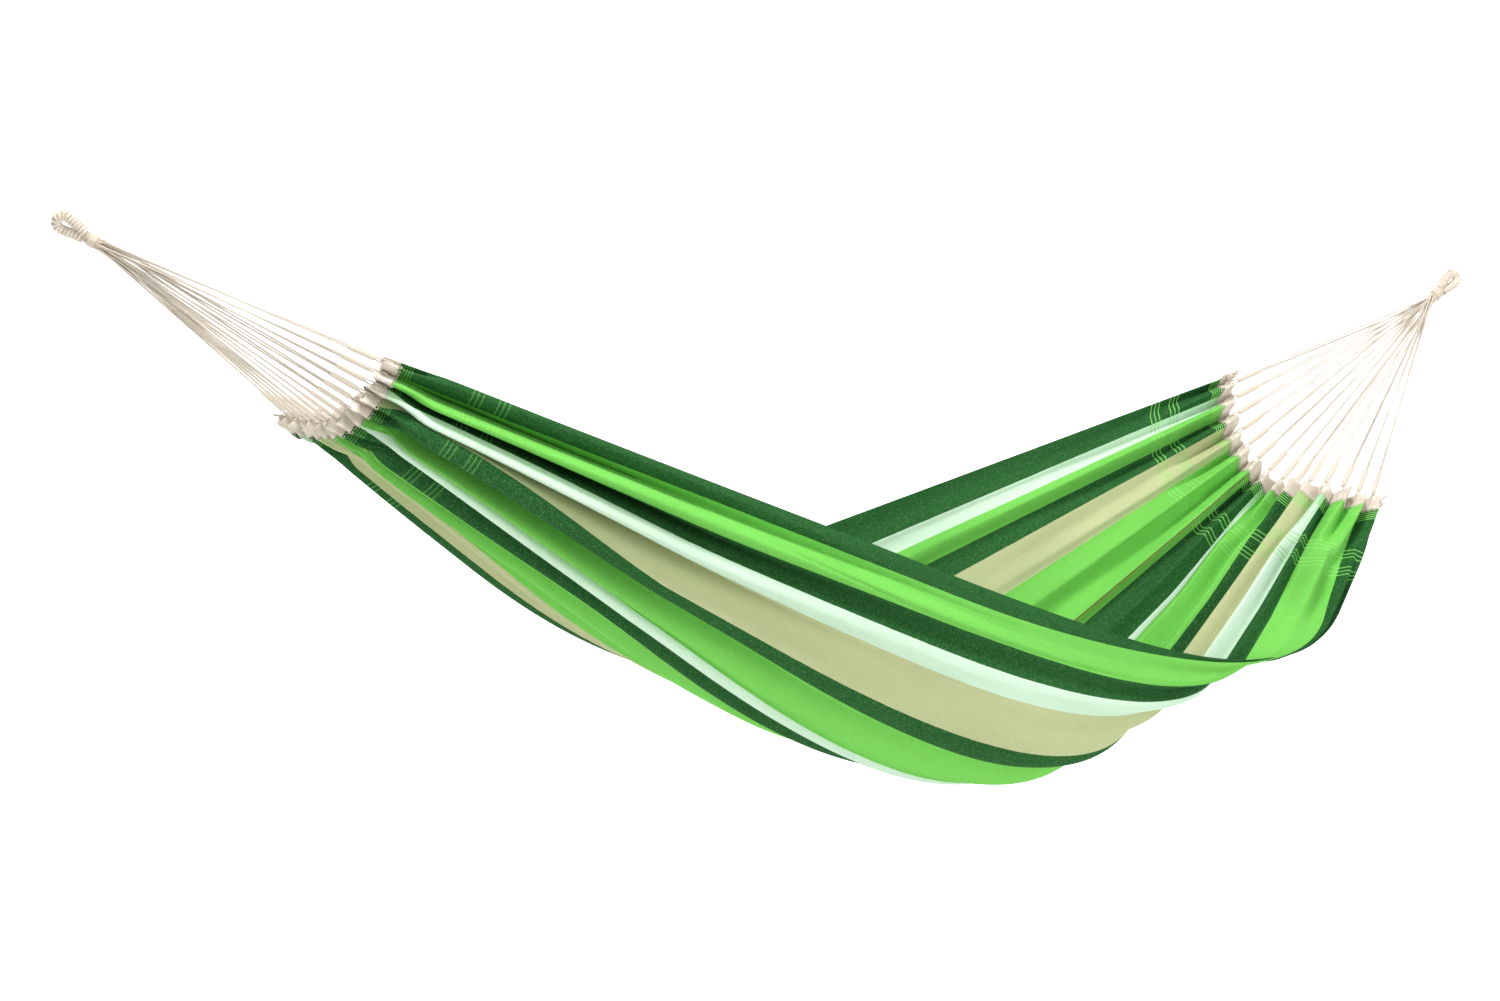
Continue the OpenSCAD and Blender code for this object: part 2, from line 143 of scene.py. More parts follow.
KNOTS = np.linspace(0, 1, 81)
bend_run = run_share(bezier(BEND, KNOTS))


def bend_at(v):
    return bezier(BEND, np.interp(v, bend_run, KNOTS))


def aim(end, v):
    return unit(bend_at(v) - THROAT[end])


head_run = [run_share(aim(end, KNOTS)) for end in (0, 1)]


def head_aim(end, v):
    return aim(end, np.interp(v, head_run[end], KNOTS))


def warp(v):
    """Left edge, start of the bend, bend, end of the bend and right edge of the warp threads at shares v."""
    c = bend_at(v)
    edges = [THROAT[end] + through3(HANG[end], v)[..., None] * head_aim(end, v) for end in (0, 1)]

    def bend_start(edge, reach):
        d = edge - c
        n = np.linalg.norm(d, axis=-1, keepdims=True)
        return c + np.minimum(through3(reach, v)[..., None], 0.9 * n) * d / n

    return edges[0], bend_start(edges[0], ROUND[0]), c, bend_start(edges[1], ROUND[1]), edges[1]


def row_shares(left, bend, right):
    """Shares of the rows on the left run, round the bend and on the right run."""
    return np.linspace(0, 1, left + 1)[:-1], np.linspace(0, 1, bend + 1), np.linspace(0, 1, right + 1)[1:]


def warp_grid(v, left, bend, right, hem=0.0):
    """Points along the threads at v: straight, round the bend, straight, with rows at the given shares."""
    l, a, c, b, r = (q[:, None, :] for q in warp(v))
    first, last = l + hem * unit(a - l), r + hem * unit(b - r)
    rows = [mix(first, a, left[None, :, None])]
    t = np.broadcast_to(bend[None, :], (len(v), len(bend)))
    full = [np.broadcast_to(q, (len(v), len(bend), 3)) for q in (a, c, b)]
    rows.append(bezier(full, t))
    rows.append(mix(b, last, right[None, :, None]))
    if hem:
        rows = [l] + rows + [r]
    return np.concatenate(rows, axis=1)


def slopes(grid):
    """Steps along and across at every point of a grid, clamped at its borders."""
    wide = np.concatenate([grid[:1], grid, grid[-1:]])
    tall = np.concatenate([grid[:, :1], grid, grid[:, -1:]], axis=1)
    return tall[:, 2:] - tall[:, :-2], wide[2:] - wide[:-2]


def grid_normals(grid):
    along, across = slopes(grid)
    return unit(np.cross(along, across))


# The solid's own coarse grid, which the cords and whippings are placed from
solid_v = np.arange(PLEATS * STEPS + 1) / (PLEATS * STEPS)
solid_base = warp_grid(solid_v, *row_shares(4, 7, 4), HEM)
solid_edge = np.minimum(np.linalg.norm(solid_base - solid_base[:, :1], axis=-1),
                        np.linalg.norm(solid_base - solid_base[:, -1:], axis=-1))
solid_fold = ((FOLD_H + (PLEAT_H - FOLD_H) * np.maximum(0, 1 - solid_edge / PLEAT_FADE) ** 2)
              * np.sin(np.arange(PLEATS * STEPS + 1) * math.pi / 2)[:, None])
solid_cloth = solid_base + solid_fold[..., None] * grid_normals(solid_base)
solid_normals = grid_normals(solid_cloth)
EDGE_ROW = (0, -1)
HEADER_HALF = CLOTH_T / 2 + GAP + CANVAS_T
LEG_OUT = HEADER_HALF + GAP + CORD_R
LEG_PAIR = CORD_R + GAP


def head_dir(end, i):
    return unit(THROAT[end] - solid_base[i, EDGE_ROW[end]])


def head_point(end, i, d):
    return solid_cloth[i, EDGE_ROW[end]] + d * head_dir(end, i)


def cord_col(k):
    return k * STEPS + 2


# Places of the cords in the throats
def cord_slope(end, k):
    a = head_aim(end, np.array([(k + 0.5) / PLEATS]))[0]
    return np.array([0, a[1], a[2]]) / abs(a[0])


def fan_dir(end, k):
    return unit(cord_slope(end, k + 1) - cord_slope(end, k - 1))


def fan_cross(end, k):
    c = np.cross([1, 0, 0], fan_dir(end, k))
    curve = cord_slope(end, k + 2) - 2 * cord_slope(end, k) + cord_slope(end, k - 2)
    return -c if curve @ c > 0 else c


def lean(end, k, line):
    return math.sqrt(1 + (cord_slope(end, k) @ line) ** 2)


THROAT_STEP = CORD_D + 2 * GAP


def pair_step(end, k):
    return THROAT_STEP * lean(end, k, fan_dir(end, k))


def throat_places(end):
    fan, places = np.zeros(3), []
    for k in range(PLEATS):
        if k:
            fan = fan + 2 * pair_step(end, k) / THROAT_ROWS * fan_dir(end, k)
        row_step = (THROAT_STEP + GAP) * lean(end, k, fan_cross(end, k))
        places.append(fan + k % THROAT_ROWS * row_step * fan_cross(end, k))
    return np.array(places) - np.mean(places, axis=0)


places = [throat_places(end) for end in (0, 1)]


def throat_slot(end, k, side):
    forward = np.array([GAP if end == 0 else -GAP, 0, 0])
    return THROAT[end] + forward + places[end][k] - side * pair_step(end, k) / 2 * fan_dir(end, k)


def sleeve_start(end, k):
    return head_point(end, cord_col(k), HEADER_W + SLEEVE_STAND)


def sleeve_dir(end, k):
    middle = (throat_slot(end, k, 1) + throat_slot(end, k, -1)) / 2
    return unit(middle - sleeve_start(end, k))


def leg_normal(end, k):
    i = cord_col(k)
    n = solid_normals[i, EDGE_ROW[end]]
    across = solid_base[i + 1, EDGE_ROW[end]] - solid_base[i - 1, EDGE_ROW[end]]
    return n if n @ across < 0 else -n


def sleeve_side(end, k):
    d, n = sleeve_dir(end, k), leg_normal(end, k)
    return unit(n - (n @ d) * d)


# The second leg of each cord ends a few places away in the throat, so that the legs part on their way
PARTNER = (4, 5, 6, 7, 0, 1, 2, 3, 11, 12, 13, 8, 9, 10)
BUNDLE = 0.62


def leg_start(end, k, side):
    slot = throat_slot(end, k if side > 0 else PARTNER[k], side)
    return mix(THROAT[end], slot, np.array([1, BUNDLE, BUNDLE]))


def leg_route(end, k, side):
    """Corners of one leg: throat, both ends of the whipping, edge of the header and eyelet."""
    i, foot = cord_col(k), sleeve_start(end, k)
    out = LEG_OUT * (side * leg_normal(end, k))
    pair = LEG_PAIR * (side * sleeve_side(end, k))
    return [leg_start(end, k, side), foot + SLEEVE_LEN * sleeve_dir(end, k) + pair, foot + pair,
            head_point(end, i, HEADER_W + GAP) + out, head_point(end, i, EYELET_IN + LEG_OUT) + out]


def rounded(points, reach):
    """The same route with its corners eased over the given reach."""
    out = [points[0]]
    for a, b, c in zip(points, points[1:], points[2:]):
        p = b + unit(a - b) * min(reach, 0.45 * np.linalg.norm(a - b))
        q = b + unit(c - b) * min(reach, 0.45 * np.linalg.norm(c - b))
        out += [bezier([p, b, q], np.array(t)) for t in (0, 0.25, 0.5, 0.75, 1)]
    return out + [points[-1]]


def cord_route(end, k):
    """One doubled cord: down one leg, through its eyelet and up the other leg."""
    i = cord_col(k)
    n, e = leg_normal(end, k), head_dir(end, i)
    legs = [rounded(leg_route(end, k, side), LEG_EASE) for side in (1, -1)]
    through = [head_point(end, i, EYELET_IN + LEG_OUT) + LEG_OUT * (math.cos(a) * n - math.sin(a) * e)
               for a in np.radians(np.arange(15, 180, 15))]
    return np.array(legs[0] + through + legs[1][::-1])


def spaced(points, step):
    """The route's points again, at most a step apart, with every corner kept."""
    out = [points[:1]]
    for a, b in zip(points, points[1:]):
        n = max(1, math.ceil(np.linalg.norm(b - a) / step))
        out.append(mix(a, b, (np.arange(n) + 1)[:, None] / n))
    return np.concatenate(out)


# Meshes
def grid_faces(rows, cols, wrap=False, first=0):
    j = np.arange(cols if wrap else cols - 1)
    kk, jj = np.meshgrid(np.arange(rows - 1), j, indexing="ij")
    nxt = (jj + 1) % cols
    corners = [kk * cols + jj, kk * cols + nxt, (kk + 1) * cols + nxt, (kk + 1) * cols + jj]
    return first + np.stack(corners, -1).reshape(-1, 4)


def made(name, verts, faces, maps, body, slot, look, *nodes):
    """A smooth mesh piece with its maps, riding on a body in place of the named solids."""
    me = bpy.data.meshes.new(name)
    me.from_pydata(np.asarray(verts).tolist(), [], [list(f) for f in faces])
    for label, uv in maps.items():
        me.uv_layers.new(name=label).data.foreach_set("uv", np.asarray(uv, dtype=np.float32).ravel())
    me.shade_smooth()
    me.materials.append(look)
    obj = bpy.data.objects.new(name, me)
    bpy.context.scene.collection.objects.link(obj)
    if body:
        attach(obj, body)
    if nodes:
        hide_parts(*nodes)
    return obj


def frames(path):
    """Two directions square to a route at each of its points, carried along without twist."""
    t = unit(np.gradient(path, axis=0))
    side = np.zeros_like(path)
    s = np.cross(t[0], [0.0, 0.0, 1.0] if abs(t[0][2]) < 0.9 else [1.0, 0.0, 0.0])
    for k, d in enumerate(t):
        s = unit(s - (s @ d) * d)
        side[k] = s
    return side, np.cross(t, side)


class Tubes:
    """Tubes gathered into one mesh, with a map of length along and turn round each of them."""

    def __init__(self):
        self.verts, self.faces, self.uv, self.count = [], [], [], 0

    def skin(self, rings, run):
        """An open tube through the given rings."""
        n, sides = rings.shape[:2]
        self.verts.append(rings.reshape(-1, 3))
        self.faces += grid_faces(n, sides, True, self.count).tolist()
        kk, jj = np.meshgrid(np.arange(n - 1), np.arange(sides), indexing="ij")
        corners = [(run[kk + dk], (jj + dj) / sides) for dk, dj in ((0, 0), (0, 1), (1, 1), (1, 0))]
        self.uv.append(np.stack([np.stack(c, -1) for c in corners], 2).reshape(-1, 2))
        self.count += n * sides
        return self

    def add(self, path, radius, sides=8, lobes=0, lay=1.0, depth=0.0, flat=1.0, side=None):
        """A closed tube along a route, with twisted lobes where it has any."""
        path = np.asarray(path)
        u, w = frames(path) if side is None else (side, np.cross(unit(np.gradient(path, axis=0)), side))
        run = run_along(path)
        a = np.arange(sides) / sides * 2 * math.pi
        r = np.broadcast_to(np.asarray(radius, dtype=float).reshape(-1, 1), (len(path), sides)).copy()
        if lobes:
            r *= 1 - depth * (1 - np.abs(np.cos(lobes / 2 * (a[None] - 2 * math.pi * run[:, None] / lay))))
        first = self.count
        self.skin(path[:, None] + (r * np.cos(a))[..., None] * u[:, None]
                  + flat * (r * np.sin(a))[..., None] * w[:, None], run)
        for cap in (range(first + sides - 1, first - 1, -1), range(self.count - sides, self.count)):
            self.faces.append(list(cap))
            self.uv.append(np.zeros((sides, 2)))
        return self

    def piece(self, name, body, slot, look, *nodes):
        return made(name, np.concatenate(self.verts), self.faces, {"run": np.concatenate(self.uv)},
                    body, slot, look, *nodes)


# Finishes
class Wire:
    """A socket in a finish's node tree, on which sums are written as plain expressions."""

    def __init__(self, tree, socket=None):
        self.tree, self.socket = tree, socket

    def node(self, kind, settings=None, inputs=None, out=0):
        n = self.tree.nodes.new(kind)
        for name, value in (settings or {}).items():
            if name == "stops":
                ramp = n.color_ramp
                while len(ramp.elements) < len(value):
                    ramp.elements.new(1.0)
                for e, (at, colour) in zip(ramp.elements, value):
                    e.position, e.color = at, (*colour, 1.0)
            elif name == "steps":
                n.color_ramp.interpolation = value
            else:
                setattr(n, name, value)
        for name, value in (inputs or {}).items():
            if isinstance(value, Wire):
                self.tree.links.new(value.socket, n.inputs[name])
            else:
                n.inputs[name].default_value = value
        return Wire(self.tree, n.outputs[out])

    def sum(self, op, other=0.0, swap=False):
        a, b = (other, self) if swap else (self, other)
        return self.node("ShaderNodeMath", {"operation": op}, {0: a, 1: b})

    def __add__(self, o): return self.sum("ADD", o)
    def __radd__(self, o): return self.sum("ADD", o)
    def __sub__(self, o): return self.sum("SUBTRACT", o)
    def __rsub__(self, o): return self.sum("SUBTRACT", o, True)
    def __mul__(self, o): return self.sum("MULTIPLY", o)
    def __rmul__(self, o): return self.sum("MULTIPLY", o)
    def __truediv__(self, o): return self.sum("DIVIDE", o)
    def __rtruediv__(self, o): return self.sum("DIVIDE", o, True)
    def __pow__(self, o): return self.sum("POWER", o)
    def __rpow__(self, o): return self.sum("POWER", o, True)

    def sine(self): return self.sum("SINE")
    def floor(self): return self.sum("FLOOR")
    def fract(self): return self.sum("FRACT")
    def size(self): return self.sum("ABSOLUTE")
    def most(self, o): return self.sum("MAXIMUM", o)

    def between(self, low, high):
        return self.node("ShaderNodeMapRange", {"clamp": True, "interpolation_type": "SMOOTHSTEP"},
                         {0: self, 1: low, 2: high, 3: 0.0, 4: 1.0})

    def tint(self, share, a, b, way="MIX"):
        return self.node("ShaderNodeMix", {"data_type": "RGBA", "blend_type": way}, {0: share, 6: a, 7: b}, 2)

    def blend(self, a, b):
        return self.tint(self, a, b)

    def vector(self, x, y, z=0.0):
        return self.node("ShaderNodeCombineXYZ", None, {0: x, 1: y, 2: z})

    def parts(self):
        """The first two values of a vector."""
        first = self.node("ShaderNodeSeparateXYZ", None, {0: self})
        return first, Wire(self.tree, first.socket.node.outputs[1])

    def map(self, label):
        return self.node("ShaderNodeUVMap", {"uv_map": label}).parts()

    def noise(self, where, scale, detail=2.0, rough=0.5):
        return self.node("ShaderNodeTexNoise", None,
                         {"Vector": where, "Scale": scale, "Detail": detail, "Roughness": rough})


def shade(red, green, blue):
    """A colour from its screen values, as the shaders take it."""
    screen = (red / 255, green / 255, blue / 255)
    return tuple(c / 12.92 if c <= 0.04045 else ((c + 0.055) / 1.055) ** 2.4 for c in screen) + (1.0,)


SHEEN_ROUGH, SPECULAR, RELIEF = 0.5, 0.10, 0.8


def finish(name, paint, rough=0.85, sheen=0.25):
    """A cloth-like finish whose colour and relief come from the paint function."""
    mat = bpy.data.materials.new(name)
    mat.use_nodes = True
    tree = mat.node_tree
    shader = tree.nodes["Principled BSDF"]
    for label, value in (("Roughness", rough), ("Sheen Weight", sheen), ("Sheen Roughness", SHEEN_ROUGH),
                         ("Specular IOR Level", SPECULAR)):
        shader.inputs[label].default_value = value
    colour, height, depth = paint(Wire(tree))
    tree.links.new(colour.socket, shader.inputs["Base Color"])
    bump = colour.node("ShaderNodeBump", None, {"Strength": RELIEF, "Distance": depth, "Height": height})
    tree.links.new(bump.socket, shader.inputs["Normal"])
    return mat


# Colours of the cloth: each stripe from its share across the bed, weft lines, pale specks and darker yarn
FOREST, LEAF, MINT, SAND = shade(26, 88, 40), shade(120, 208, 88), shade(212, 240, 216), shade(196, 202, 154)
STRIPES = ((0.0, FOREST), (0.0674, MINT), (0.1081, LEAF), (0.1551, FOREST), (0.2016, SAND), (0.2888, LEAF),
           (0.4450, FOREST), (0.5160, MINT), (0.5380, LEAF), (0.6299, FOREST), (0.6682, SAND), (0.7519, MINT),
           (0.7937, FOREST), (0.8483, LEAF), (0.9291, FOREST))
WEFT_LINE, SPECK, DARK_YARN = shade(140, 218, 112), shade(180, 220, 150), (0.55, 0.60, 0.50, 1)
# Its threads, and where the weft lines lie from each header
CLOTH_WIDE, THREAD_PITCH, SLUBS, STRIPE_SWAY, CLOTH_RELIEF = 1.40, 0.0016, 380, 0.0012, 0.0006
HEADER_LINES = [0.008 + 0.0055 * q for q in range(5)]
LEFT_LINES, RIGHT_LINES, LINE_STEP = (0.150, 0.202), (0.114, 0.162), 0.010
LINE_HALF, LINE_EDGE = 0.0006, 0.0015
# Colours and threads of the seam, the header tape and the cords
SEAM_CLOTH, SEAM_BROWN, SEAM_OCHRE = shade(112, 198, 82), shade(92, 54, 24), shade(206, 170, 72)
TAPE_DULL, TAPE_PALE, TAPE_THREAD = shade(222, 210, 193), shade(243, 236, 224), shade(250, 246, 238)
SEAM_STITCH, TAPE_PITCH, TAPE_STITCH, TAPE_STITCH_ROWS = 0.004, 0.0022, 0.005, (0.003, 0.027)
# Painted shade for the grooves between the twisted strands of the cords, twine and loops
PAINTED_GROOVE_SHADOW = shade(178, 158, 134)


def waves(length, pitch):
    return (length * (2 * math.pi / pitch)).sine()


def striped_cloth(w):
    along, share = w.map("cloth")
    from_right = w.map("ends")[0]
    across = share * CLOTH_WIDE
    thread, pick = (across / THREAD_PITCH).floor(), (along / THREAD_PITCH).floor()
    sway = w.noise(w.vector(along * 30, share * 3), 1.0) * STRIPE_SWAY - STRIPE_SWAY / 2
    stops = [(at, colour[:3]) for at, colour in STRIPES]
    stripe = w.node("ShaderNodeValToRGB", {"steps": "CONSTANT", "stops": stops}, {0: share + sway})
    slub = w.noise(w.vector(along * SLUBS, thread * 5.17), 1.0, 1.0)
    weft_slub = w.noise(w.vector(pick * 5.3, across * SLUBS), 1.0, 1.0)
    wave = waves(across, THREAD_PITCH) * waves(along, THREAD_PITCH)
    tone = w.noise(w.vector(along * 3, across * 9), 1.0, 3.0)
    speck = (weft_slub * 0.6 + wave * 0.16 + slub * 0.4).between(0.52, 0.78)
    shown = speck.blend(stripe, w.tint(0.36, stripe, SPECK))
    dark = (slub * 0.5 + tone * 0.5).between(0.60, 0.36) * 0.30
    shown = dark.blend(shown, w.tint(1.0, shown, DARK_YARN, "MULTIPLY"))
    lines = None
    for edge, groups, strength in ((along, LEFT_LINES, 0.4), (from_right, RIGHT_LINES, 1.0)):
        for at in HEADER_LINES + [g + LINE_STEP * q for g in groups for q in range(3)]:
            line = (1 - (edge - at).size().between(LINE_HALF, LINE_EDGE)) * strength
            lines = line if lines is None else lines.most(line)
    dotted = lines * (weft_slub + slub).between(0.45, 0.85)
    shown = (dotted * 0.95).blend(shown, WEFT_LINE)
    return shown, wave * 0.35 + slub * 0.4 + weft_slub * 0.5 + lines * 0.5, CLOTH_RELIEF


def seam_felling(w):
    along, turn = w.map("run")
    stitch = waves(along, SEAM_STITCH).between(-0.5, 0.3)
    side = (turn * 2).fract()
    brown = side.between(0.46, 0.40) * side.between(0.14, 0.20)
    ochre = side.between(0.54, 0.60) * side.between(0.86, 0.80)
    colour = brown.blend(SEAM_CLOTH, SEAM_BROWN)
    colour = (ochre * (stitch * 0.4 + 0.6)).blend(colour, SEAM_OCHRE)
    return colour, brown + ochre * stitch, CLOTH_RELIEF


def canvas_tape(w):
    along, share = w.map("cloth")
    across = share * CLOTH_WIDE
    wave = waves(across, TAPE_PITCH) * waves(along, TAPE_PITCH)
    tone = w.noise(w.vector(along * 40, across * 40), 1.0, 4.0)
    low, high = (1 - (along - at).size().between(0.0005, 0.0011) for at in TAPE_STITCH_ROWS)
    row = low.most(high) * waves(across, TAPE_STITCH).between(-0.6, -0.1)
    colour = tone.between(0.40, 0.72).blend(TAPE_DULL, TAPE_PALE)
    colour = (row * 0.8).blend(colour, TAPE_THREAD)
    return colour, wave * 0.5 + tone * 0.6 + row * 1.2, CLOTH_RELIEF


def twisted(dull, pale, turns_per_metre, strands, depth):
    def paint(w):
        along, turn = w.map("run")
        ply = ((turn * strands + along * (turns_per_metre * strands)).fract() - 0.5).size()
        fibre = w.noise(w.vector(along * 260 + turn * 9, turn * 22), 1.0, 3.0)
        tone = w.noise(w.vector(along * 14, turn * 2), 1.0, 2.0)
        groove_relief_and_shade = ply.between(0.30, 0.5)
        colour = (tone * 0.6 + fibre * 0.4).between(0.3, 0.7).blend(dull, pale)
        # Painted shade: the colour darkens in the grooves between the strands, which also give the relief
        colour = (groove_relief_and_shade * 0.28).blend(colour, PAINTED_GROOVE_SHADOW)
        return colour, fibre * 0.4 - groove_relief_and_shade, depth
    return paint


cloth_finish = finish("striped woven cotton", striped_cloth, 0.95, 0.0)
seam_finish = finish("felled seam", seam_felling)
canvas_finish = finish("canvas header tape", canvas_tape)
cord_finish = finish("cotton cord", twisted(shade(206, 193, 175), shade(236, 228, 215), 85, 3, 0.0008))
twine_finish = finish("whipping twine", twisted(shade(220, 206, 186), shade(242, 233, 219), 260, 2, 0.0005))
rope_finish = finish("loop strands", twisted(shade(210, 195, 172), shade(236, 226, 209), 110, 3, 0.0008))

# Camera at the photograph's place
camera_data = bpy.data.cameras.new("camera")
camera_data.lens, camera_data.sensor_width = 50.0, 36.0
camera = bpy.data.objects.new("camera", camera_data)
camera.location = (-0.106, -3.988, -0.520)
camera.rotation_euler = (math.radians(90.18), 0, math.radians(-19.83))
bpy.context.scene.collection.objects.link(camera)
bpy.context.scene.camera = camera

# Suspension cords
for end, side_name in enumerate(ENDS):
    for k in range(PLEATS):
        route = spaced(cord_route(end, k), CORD_STEP)
        name = f"{side_name}_cord_{k + 1:02d}"
        cord = Tubes().add(route, CORD_R, 9, *CORD_TWIST).piece(
            f"{side_name}_hanging_cord_{k + 1:02d}", "bed", "cotton_cord", cord_finish, name)
        length = float(np.linalg.norm(np.diff(route, axis=0), axis=1).sum())

# Whippings round the doubled cords
whip_rings = int(SLEEVE_LEN / WHIP_PITCH) * 6
whip_share = np.arange(whip_rings + 1) / whip_rings
whip_end = np.minimum(whip_share, 1 - whip_share) * SLEEVE_LEN
whip_rib = WHIP_RIB * np.abs(np.sin(math.pi * whip_share * SLEEVE_LEN / WHIP_PITCH))
whip_taper = 1 - WHIP_TAPER * np.maximum(0, 1 - whip_end / WHIP_TAPER_LEN) ** 2
whip_outer = (LEG_PAIR + CORD_R + WHIP_WALL + whip_rib) * whip_taper
for end, side_name in enumerate(ENDS):
    whip = Tubes()
    for k in range(PLEATS):
        path = sleeve_start(end, k) + (whip_share * SLEEVE_LEN)[:, None] * sleeve_dir(end, k)
        whip.add(path, whip_outer, 14, flat=WHIP_FLAT, side=np.broadcast_to(sleeve_side(end, k), path.shape))
    whip.piece(f"{side_name}_cord_whippings", "bed", "whipping_twine", twine_finish,
               f"{side_name}_cord_sleeves")


# Pleated cloth
def zigzag(v):
    """The header's even pleats, one for each cord."""
    return np.arcsin(PLEAT_SHARP * np.sin(2 * math.pi * v * PLEATS)) / math.asin(PLEAT_SHARP)


# Crests and valleys of the hanging folds, as shares across the cloth and heights over the pleat height
FOLDS = (((0.0, -1.4), (0.03, -0.9), (0.075, -1.8), (0.105, -1.2), (0.14, -1.6), (0.18, 1.0), (0.225, -0.1),
          (0.27, 0.4), (0.315, -0.6), (0.36, 0.9), (0.405, -0.4), (0.44, 0.5), (0.485, -1.3), (0.530, 1.0),
          (0.543, -0.5), (0.568, 1.2), (0.624, -2.2), (0.652, 2.2), (0.740, -3.4), (0.775, 1.9),
          (0.828, -3.3), (0.868, 1.6), (0.909, -2.7), (0.958, 1.2), (1.0, 0.2)),
         ((0.0, -0.1), (0.035, 0.2), (0.07, -0.4), (0.085, 0.3), (0.128, -1.0), (0.163, 1.0), (0.2, -0.2),
          (0.235, 0.25), (0.27, -0.3), (0.292, 0.4), (0.345, -1.1), (0.385, 1.1), (0.425, -0.9), (0.455, 0.8),
          (0.49, -0.7), (0.52, 0.9), (0.555, -0.9), (0.59, 0.8), (0.625, -0.9), (0.655, 0.7), (0.69, -0.8),
          (0.722, 0.9), (0.755, -0.9), (0.785, 0.8), (0.82, -0.9), (0.855, 0.9), (0.89, -1.0), (0.915, 1.2),
          (0.95, -1.0), (0.985, 0.5), (1.0, 0.1)))

# Shares across the cloth, and where they lie across the bed: at the header, close to it and farther in,
# for each end
CLOTH_AT = (0.0, 0.155, 0.202, 0.289, 0.4286, 0.445, 0.516, 0.538,
            0.630, 0.668, 0.752, 0.794, 0.848, 0.929, 1.0)
BED_AT = (((0.000, 0.140, 0.195, 0.325, 0.405, 0.420, 0.556, 0.592,
            0.640, 0.735, 0.776, 0.824, 0.846, 0.922, 1.0),
           (0.110, 0.140, 0.195, 0.308, 0.395, 0.407, 0.562, 0.606,
            0.650, 0.772, 0.756, 0.803, 0.828, 0.922, 1.0),
           (0.040, 0.150, 0.194, 0.250, 0.418, 0.434, 0.516, 0.550,
            0.632, 0.668, 0.737, 0.780, 0.828, 0.930, 1.0)),
          ((0.000, 0.155, 0.202, 0.289, 0.420, 0.432, 0.495, 0.507,
            0.606, 0.671, 0.742, 0.779, 0.808, 0.942, 1.0),
           (0.000, 0.155, 0.202, 0.289, 0.420, 0.432, 0.495, 0.507,
            0.606, 0.671, 0.742, 0.779, 0.808, 0.942, 1.0),
           (0.000, 0.155, 0.202, 0.289, 0.420, 0.433, 0.515, 0.537,
            0.634, 0.671, 0.752, 0.794, 0.832, 0.950, 0.970)))
# Lengths from each header over which the shares move: start, run, stop and fading
REACH = ((0.08, 0.58, 0.64, 0.55), (0.08, 0.25, 0.50, 0.60))
# How far the folds reach, how they fall away, and where the header's pleats turn into them
FOLD_REACH, FOLD_FALL, GATHER_START, GATHER = (0.72, 0.60), 2.6, 0.012, (0.10, 0.20)
# The near rim's flat lip: across the cloth, and from and to these lengths before the right header
LIP_ACROSS, LIP_START, LIP_STOP, LIP_FLAT = (0.78, 0.12), (0.22, 0.15), (0.8, 0.35), 0.85
# The crease in the leaf-green stripe beside the near rim, and the tuck in the underside at the left
CREASE_H, CREASE_W, CREASE_AT = 0.0045, 0.0035, (0.905, 0.857)
TUCK_H, TUCK_AT, TUCK_WIDE = 0.018, (0.62, 0.38), (0.30, 0.12)
WIDE_DRAPE, FINE_DRAPE, DRAPE_EASE = 0.0015, 0.0009, 0.25


def hanging_folds(end, v):
    """The uneven folds of the hanging cloth: round crests between sharper valleys."""
    at, height = np.array(FOLDS[end]).T
    k = np.clip(np.searchsorted(at, v, side="right") - 1, 0, len(at) - 2)
    t = (v - at[k]) / (at[k + 1] - at[k])
    rising = height[k + 1] > height[k]
    bow = np.where(rising, np.sin(0.5 * math.pi * t), 1 - np.cos(0.5 * math.pi * t))
    even = 0.5 - 0.5 * np.cos(math.pi * t)
    return mix(height[k], height[k + 1], mix(even, bow, 0.5))


def smooth(t):
    t = np.clip(t, 0, 1)
    return t * t * (3 - 2 * t)


def rise(x, start, over):
    return smooth((x - start) / over)


# Table of the bed: point, normal and length from both edges
bed_v = np.linspace(0, 1, 281)
bed = warp_grid(bed_v, *row_shares(60, 110, 56))
bed_step = np.linalg.norm(np.diff(bed, axis=1), axis=-1)
bed_run = np.concatenate([np.zeros((len(bed), 1)), np.cumsum(bed_step, axis=1)], axis=1)
bed_back = bed_run[:, -1:] - bed_run
bed_table = np.concatenate([bed, grid_normals(bed), bed_run[..., None], bed_back[..., None]], -1)


def on_bed(at):
    """Rows of the bed's table at shares that may differ from row to row."""
    columns = [[np.interp(at[:, j], bed_v, bed_table[:, j, q]) for q in range(bed_table.shape[2])]
               for j in range(bed.shape[1])]
    return np.transpose(np.array(columns), (2, 0, 1))


def bed_shares(vv):
    """Where shares of the cloth lie across the bed."""
    first, at = on_bed(vv), vv
    for end in (0, 1):
        away = first[..., 6 + end]
        start, over, stop, fading = REACH[end]
        edge, close, farther = (np.interp(vv, CLOTH_AT, row) - vv for row in BED_AT[end])
        inward = np.clip((away - start) / over, 0, 1)
        moved = mix(mix(edge, close, smooth(away / start)), farther, (inward + smooth(inward)) / 2)
        at = at + (1 - rise(away, stop, fading)) * moved
    return at


